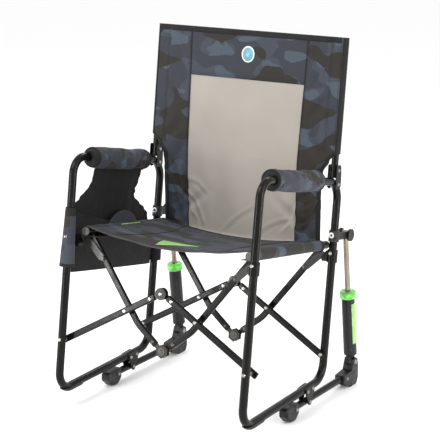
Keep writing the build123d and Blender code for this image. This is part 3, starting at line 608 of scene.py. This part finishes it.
seat = grid("cloth_seat", seat_surface(SEAT_FRONT + 0.001, SEAT_REAR - 0.001), 150, 80, CAMO, 0.0018,
            flat=(SEAT_PATH, SEAT_REAR - SEAT_FRONT))
seat_pieces.append(seat)
HEM_WIDTH = 0.013
HEM_REACH = RAIL_X + WRAP * 0.7          # the hems end part of the way round each rail
for name, v0, v1, look in (("front", SEAT_FRONT, SEAT_FRONT + HEM_WIDTH, HEM),
                           ("rear", SEAT_REAR - HEM_WIDTH, SEAT_REAR, BINDING)):
    for face, lift in (("top", 0.0012), ("under", -0.0012)):
        seat_pieces.append(grid(f"hem_seat_{name}_{face}", seat_surface(v0, v1, -HEM_REACH, HEM_REACH, lift),
                                120, 4, look, 0.0008, flat=(SEAT_PATH, HEM_WIDTH)))
seat_pieces.append(rope("hem_seat_fold", [seat_point(-HEM_REACH + k * 2 * HEM_REACH / 120, SEAT_FRONT - 0.0004)
                                         for k in range(121)], 0.0021, HEM))


def side_seam(sx, k, lift=0.0014):
    """The seam between the seat's middle and one of its side strips, pinched in halfway back."""
    v = SEAT_FRONT + 0.002 + k * (SEAT_REAR - SEAT_FRONT - 0.004)
    return seat_point(sx * (0.142 + 0.036 * ((v + 0.155) / 0.19) ** 2 + 0.0012 * wavy(v, sx, 40.0, 2.0)), v, lift)


def front_seam(offset):
    return [seat_point((2 * k - 1) * (RAIL_X + 0.01), SEAT_FRONT + offset, 0.0016) for k in steps]


for side, sx in SIDES.items():
    seat_pieces.append(rope(f"seam_seat_{side}", [side_seam(sx, k) for k in steps], 0.0009, BINDING))
seat_pieces.append(stitches("stitching_seat", [front_seam(0.004), front_seam(0.0098), front_seam(0.0165)] + [
    [seat_point(sx * (RAIL_X - 0.012 - gap), SEAT_FRONT + 0.016 + k * (SEAT_REAR - SEAT_FRONT - 0.034), 0.0013)
     for k in steps] for sx in (-1, 1) for gap in (0, 0.004)], THREAD))


def print_bar(s, t):
    """A plain lime bar that tapers to the right, printed near the front edge."""
    low = Vector((-0.050, -0.317)).lerp(Vector((0.037, -0.247)), s)
    high = Vector((-0.075, -0.240)).lerp(Vector((0.037, -0.238)), s)
    d, v = low.lerp(high, t)
    return seat_point(d, v, 0.00145)


seat_pieces.append(grid("print_bar_seat", print_bar, 40, 12, PRINT, 0.0003))
seat_pieces.append(grid("print_line_seat", lambda s, t: seat_point(-0.242 + 0.005 * t, -0.200 + 0.092 * s, 0.0013),
                        24, 2, PRINT, 0.0003))


# ---- arm pads: foam under a camouflage sleeve, black cuffs at both ends --------------------------------
ARM_FRONT_W, ARM_REAR_W = 0.637, 0.616
ARM_SLOPE = (ARM_REAR_W - ARM_FRONT_W) / (LEG_REAR_V - LEG_FRONT_V)


def arm_axis(v):
    return ARM_FRONT_W + (v - LEG_FRONT_V) * ARM_SLOPE


def settle(obj, pressure, cap):
    """Runs the cloth with air pressure on a copy of the mesh, ends pinned, and keeps the capped result."""
    rest = [v.co.copy() for v in obj.data.vertices]
    body = obj.modifiers.new("air", "CLOTH")
    body.settings.quality = 6
    body.settings.mass = 0.25
    body.settings.tension_stiffness = 18
    body.settings.compression_stiffness = 18
    body.settings.shear_stiffness = 8
    body.settings.bending_stiffness = 0.4
    body.settings.use_pressure = True
    body.settings.uniform_pressure_force = pressure
    body.settings.shrink_min = -0.035
    body.settings.effector_weights.gravity = 0
    body.settings.vertex_group_mass = "pinned"
    body.collision_settings.use_collision = False
    for f in range(1, 21):
        bpy.context.scene.frame_set(f)
    ready = obj.evaluated_get(bpy.context.evaluated_depsgraph_get())
    moved = [v.co.copy() for v in ready.data.vertices]
    obj.modifiers.remove(body)
    for vertex, a, b in zip(obj.data.vertices, rest, moved):
        step = b - a
        if step.length > cap:
            step *= cap / step.length
        vertex.co = a + step
    bpy.context.scene.frame_set(1)


PAD_RINGS, PAD_SPOKES = 72, 72
for side, sx in SIDES.items():
    centre_x = sx * (LOOP_X - 0.010)

    def skin(s, t, sx=sx, centre_x=centre_x):
        """Outer cloth of the pad, slack along the seam underneath."""
        v = PAD_V[0] + 0.004 + t * (PAD_V[1] - PAD_V[0] - 0.008)
        angle = 2 * pi * s
        ends = min(1.0, min(t, 1 - t) / 0.05)
        r = 0.0249 + 0.0030 * ends ** 0.5 + 0.0004 * wavy(cos(angle) * 0.03, t * 0.3, 30.0, 7.0 + sx)
        under = exp(-((s - 0.75) / 0.012) ** 2)
        r -= 0.0016 * under
        return at(centre_x + r * cos(angle), v, arm_axis(v) + r * sin(angle))
    pad = grid(f"pad_cloth_{side}", skin, PAD_SPOKES, PAD_RINGS, CAMO_PAD, 0, True)
    pins = pad.vertex_groups.new(name="pinned")
    last = PAD_SPOKES * PAD_RINGS
    pins.add([*range(PAD_SPOKES * 2), *range(last - PAD_SPOKES, last + PAD_SPOKES)], 1.0, "REPLACE")
    settle(pad, 3.0, 0.0030)
    soft = pad.modifiers.new("soft", "SUBSURF")
    soft.levels = soft.render_levels = 1

    def end_face(s, t, sx=sx, centre_x=centre_x, v_end=0.0, out=1):
        angle = 2 * pi * s
        r = 0.0117 + (0.0262 - 0.0117) * t
        x_c = sx * LOOP_X * (1 - t) + centre_x * t
        bulge = 0.0022 * sin(pi * t) - 0.0025 * t
        return at(x_c + r * cos(angle), v_end + out * bulge, arm_axis(v_end) + r * sin(angle))
    for label, v_end, out in (("front", PAD_V[0] + 0.0025, -1), ("rear", PAD_V[1] - 0.0025, 1)):
        disc = grid(f"pad_end_{label}_{side}", lambda s, t, v_end=v_end, out=out, sx=sx, cx=centre_x:
                    end_face(s, t, sx, cx, v_end, out), 48, 10, BINDING, 0.0010, True)
        cuff = grid(f"pad_cuff_{label}_{side}", lambda s, t, v_end=v_end, out=out, cx=centre_x: at(
            cx + (0.0265 + 0.0013 * sin(pi * t)) * cos(2 * pi * s), v_end - out * 0.011 * t,
            arm_axis(v_end - out * 0.011 * t) + (0.0265 + 0.0013 * sin(pi * t)) * sin(2 * pi * s)),
            64, 8, BINDING, 0.0010, True)
        for piece in (disc, cuff):
            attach(piece, f"frame_{side}")
    lines = [[at(centre_x + 0.0272 * cos(2 * pi * s), v, arm_axis(v) + 0.0272 * sin(2 * pi * s))
              for v in (PAD_V[0] + 0.016 + k * (PAD_V[1] - PAD_V[0] - 0.032) for k in steps)] for s in (0.735, 0.765)]
    thread = stitches(f"stitching_pad_{side}", lines, THREAD)
    for piece in (pad, thread):
        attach(piece, f"frame_{side}")
    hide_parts(f"arm_pad_{side}")

# ---- organiser: a flap from the armrest, a pouch between the legs, cuffs round both legs ---------------
FLAP_FRONT = ((0.318, -0.352), (0.500, -0.352), (0.520, -0.331), (0.534, -0.312), (0.549, -0.291), (0.572, -0.280),
              (0.622, -0.273))
FLAP_REAR = ((0.318, 0.030), (0.437, 0.030), (0.460, 0.022), (0.477, 0.000), (0.493, -0.029), (0.512, -0.060),
             (0.535, -0.061), (0.554, -0.053), (0.585, -0.047), (0.622, -0.046))


def flap(s, t):
    w = 0.325 + t * (0.606 - 0.325)
    gather = exp(-((w - 0.540) / 0.035) ** 2)
    v = ramp(w, FLAP_FRONT) + s * (ramp(w, FLAP_REAR) - ramp(w, FLAP_FRONT))
    edge = exp(-(min(s, 1 - s) / 0.10) ** 2)
    v += 0.0016 * gather * edge * sin(w / 0.0026) * (1 if s > 0.5 else -1)
    x = -0.3060 + 0.019 * max(0.0, (w - 0.43) / 0.18)
    x += gather * edge * 0.0014 * sin(w / 0.0034 + s * 9) + 0.0016 * wavy(v, w, 11.0, 3.0)
    x += 0.0016 * sin(s * 9.5 + 3.0 * wavy(v, w, 5.0, 1.0)) * sin(pi * t) + 0.0010 * wavy(v * 2.2, w * 0.6, 16.0, 8.0)
    return at(x, v, w)


POUCH_X, POUCH_HALF = -0.2935, 0.0138
POUCH_FRONT, POUCH_REAR = -0.358, 0.0305
POUCH_LOW, POUCH_MOUTH = 0.3235, (0.486, 0.432)      # bottom, and the mouth at the front and at the rear
SQUARENESS = 0.42                                    # below 1, the plan of the pouch nears a rectangle


def bag(s, t):
    """Pouch wall: front edge, inner face, rear edge, outer face, lofted from the flat bottom to the mouth."""
    angle = 2 * pi * s
    vs, xs = cos(angle), sin(angle)
    v_unit = (1 if vs > 0 else -1) * abs(vs) ** SQUARENESS
    x_unit = (1 if xs > 0 else -1) * abs(xs) ** SQUARENESS
    middle, length = (POUCH_FRONT + POUCH_REAR) / 2, POUCH_REAR - POUCH_FRONT
    v = middle + v_unit * length / 2
    share = (v - POUCH_FRONT) / length
    top = POUCH_MOUTH[0] + (POUCH_MOUTH[1] - POUCH_MOUTH[0]) * share
    low = POUCH_LOW - 0.0065 * share
    drop = 0.010 * (1 - ((v - middle) / 0.2) ** 2)
    w = low + t * (top - (drop if x_unit > 0 else 0) - low)
    full = POUCH_HALF * (0.84 + 0.16 * sin(pi * min(1.0, t * 1.2)))
    x = POUCH_X + x_unit * full
    x += (0.0010 * wavy(v, w, 16.0, 5.0) + 0.0008 * sin(v / 0.021 + w * 20)) * (0.4 + 0.6 * t)
    return at(x, v, w)


flap_sheet = grid("cloth_organiser_flap", flap, 70, 90, DARK, 0.0012)
pouch = grid("cloth_organiser_pouch", bag, 120, 40, DARK, 0.0012, True)
base = grid("cloth_organiser_base", lambda s, t: bag(s, 0.0).lerp(at(POUCH_X, -0.17, 0.3225), 1 - t * 0.999), 120, 8,
            DARK, 0.0010, True)
rim = rope("binding_pouch_rim", [bag(k / 160, 0.995) for k in range(161)], 0.0020, BINDING)
edges = [rope(f"binding_flap_{label}", [flap(s, k / 110) for k in range(111)], 0.0019, BINDING)
         for label, s in (("front", 0.0), ("rear", 1.0))]


def hanger(s, t):
    """The strip under the arm pad that the flap is sewn to."""
    v = -0.262 + 0.208 * t
    return at(-LOOP_X - 0.00952 * cos(pi * s), v, arm_axis(v) - 0.0300 + 0.004 * sin(pi * s))


hook = grid("cloth_organiser_loop", hanger, 6, 60, DARK, 0.0012)


def cuff(v0, low, high, low_radius, high_radius):
    """A cloth sleeve round a leg, wider at its lower end."""
    def surface(s, t):
        angle = 2 * pi * s
        w = low + t * (high - low)
        r = (low_radius + (high_radius - low_radius) * t) * (1 + 0.02 * wavy(angle * 0.05, w, 30.0, 8.0))
        return at(-LOOP_X + r * cos(angle), v0 + r * sin(angle), w)
    return surface


front_cuff = grid("cloth_front_leg_cuff", cuff(LEG_FRONT_V, 0.345, 0.478, 0.0196, 0.0142), 48, 40, CAMO, 0.0014, True)
front_cuff_top = grid("binding_leg_cuff_top", cuff(LEG_FRONT_V, 0.478, 0.500, 0.0142, 0.0132), 48, 8, BINDING,
                      0.0014, True)
front_cuff_low = grid("binding_leg_cuff_low", cuff(LEG_FRONT_V, 0.341, 0.3495, 0.0200, 0.0199), 48, 4, BINDING,
                      0.0012, True)
rear_cuff = grid("cloth_rear_leg_cuff", cuff(LEG_REAR_V, 0.326, 0.388, 0.0190, 0.0180), 48, 20, DARK, 0.0014, True)


def pocket(s, t):
    """An arched camouflage pocket on the pouch's inner face, which stands just above the seat."""
    v = -0.137 + 0.074 * (2 * s - 1)
    arch = 0.481 - 0.036 * abs(2 * s - 1) ** 2.2
    return at(-0.2785 + 0.0008 * sin(pi * s), v, 0.418 + t * (arch - 0.418))


pocket_sheet = grid("cloth_inner_pocket", pocket, 24, 30, CAMO, 0.0010)
flap_rows = [[flap(s, 0.35 + 0.62 * k) + Vector((0.0008, 0, 0)) for k in steps] for s in (0.03, 0.97)]
flap_thread = stitches("stitching_flap", flap_rows, THREAD)
organiser_pieces = [flap_sheet, pouch, base, rim, hook, front_cuff, front_cuff_top, front_cuff_low, rear_cuff,
                    pocket_sheet, flap_thread] + edges
for piece in organiser_pieces:
    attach(piece, "frame_left")
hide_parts("organiser")

# ---- small looks on the shocks: a plain lime band beside the cylinder's front -----------------------
FOOT, HEAD = Vector((0, 0.234, 0.065)), Vector((0, 0.188, 0.445))     # shock's eyes, before the centring shift
CYLINDER_R = 0.0187
SHOCK_RUN = (HEAD - FOOT).normalized()
SHOCK_SIDE = Vector((0, SHOCK_RUN.z, -SHOCK_RUN.y))
for side, sx in SIDES.items():
    def band(s, t, sx=sx):
        angle = radians(-104 + 50 * s)
        along = 0.060 + 0.120 * t
        middle = FOOT + SHOCK_RUN * along + Vector((sx * LOOP_X, CENTRE_Y, 0))
        return middle + Vector((CYLINDER_R * sin(angle) * -sx, 0, 0)) - SHOCK_SIDE * (CYLINDER_R * cos(angle))
    stripe = grid(f"lime_band_{side}", band, 10, 30, PRINT, 0.0003)
    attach(stripe, f"cylinder_{side}")

COLLAR_W = 0.470
for side, sx in SIDES.items():
    def ring(s, t, sx=sx):
        angle, turn = 2 * pi * s, 2 * pi * t
        reach = 0.0056 + 0.0024 * cos(turn)
        v = LEG_REAR_V - LOOP_R - 0.0048 + 0.0007 * sin(turn)
        return at(sx * LOOP_X + reach * cos(angle), v, COLLAR_W + reach * sin(angle))
    washer = grid(f"mount_washer_{side}", ring, 36, 12, WASHER, 0, True)
    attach(washer, f"frame_{side}")

# ---- what the cloth rides on --------------------------------------------------------------------------
for piece in back_pieces:
    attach(piece, "frame_left")
    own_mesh(piece)
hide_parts("back_cloth")
for piece in seat_pieces:
    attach(piece, "upper_links_left")
    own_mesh(piece)
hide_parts("seat_cloth")


def sheet_area(obj):
    return sum(p.area for p in obj.data.polygons)


for piece, size, held, on in (
        (mesh_panel, (0.37, 0.449), "stretched", ["back_post_left", "back_post_right"]),
        (top_panel, (0.375, 0.137), "stretched", ["back_post_left", "back_post_right"]),
        (side_panels["left"], (0.115, 0.574), "stretched", ["back_post_left"]),
        (side_panels["right"], (0.115, 0.574), "stretched", ["back_post_right"]),
        (seat, (0.660, 0.379), "stretched", ["seat_rail_left", "seat_rail_right"]),
        (flap_sheet, (0.385, 0.284), "hung", ["side_loop_left"])):
    area = sheet_area(piece)

# ---- floor, light and camera ---------------------------------------------------------------------------
floor_mat, _, floor_shader = start_material("floor_paint", Roughness=0.9)
floor_shader.inputs["Base Color"].default_value = (0.97, 0.97, 0.97, 1)
floor = finish_mesh("floor", [(-30, -30, -0.0004), (30, -30, -0.0004), (30, 30, -0.0004), (-30, 30, -0.0004)],
                    [(0, 1, 2, 3)], floor_mat, smooth=False)
world = bpy.data.worlds.new("studio")
world.use_nodes = True
world.node_tree.nodes["Background"].inputs["Color"].default_value = (1, 1, 1, 1)
world.node_tree.nodes["Background"].inputs["Strength"].default_value = 1.0
bpy.context.scene.world = world
MIDDLE = Vector((0, CENTRE_Y, 0.488))
AIM = Vector((-0.0515, 0.1430, 0.4656))


def lamp(name, azimuth, elevation, distance, width, height, power):
    light = bpy.data.lights.new(name, "AREA")
    light.shape = "RECTANGLE"
    light.size, light.size_y, light.energy = width, height, power
    obj = bpy.data.objects.new(name, light)
    a, e = radians(azimuth), radians(elevation)
    obj.location = MIDDLE + Vector((sin(a) * cos(e), -cos(a) * cos(e), sin(e))) * distance
    obj.rotation_euler = (MIDDLE - obj.location).to_track_quat("-Z", "Y").to_euler()
    bpy.context.scene.collection.objects.link(obj)


lamp("key", -25, 48, 3.2, 1.6, 1.6, 50)
lamp("fill", 85, 30, 3.4, 1.8, 1.8, 26)
lamp("rim", 190, 45, 3.0, 1.2, 1.2, 26)
lamp("strip_left", -32, 4, 2.6, 0.22, 1.0, 20)
lamp("strip_right", 88, 4, 2.6, 0.22, 1.0, 22)

bpy.context.scene.view_settings.view_transform = "Standard"
camera = bpy.data.objects.new("camera", bpy.data.cameras.new("camera"))
camera.data.lens, camera.data.sensor_width = 140.6, 36.0
a, e = radians(31.093), radians(13.776)
camera.location = AIM + Vector((sin(a) * cos(e), -cos(a) * cos(e), sin(e))) * 4.8
camera.rotation_euler = (AIM - camera.location).to_track_quat("-Z", "Y").to_euler()
bpy.context.scene.collection.objects.link(camera)
bpy.context.scene.camera = camera
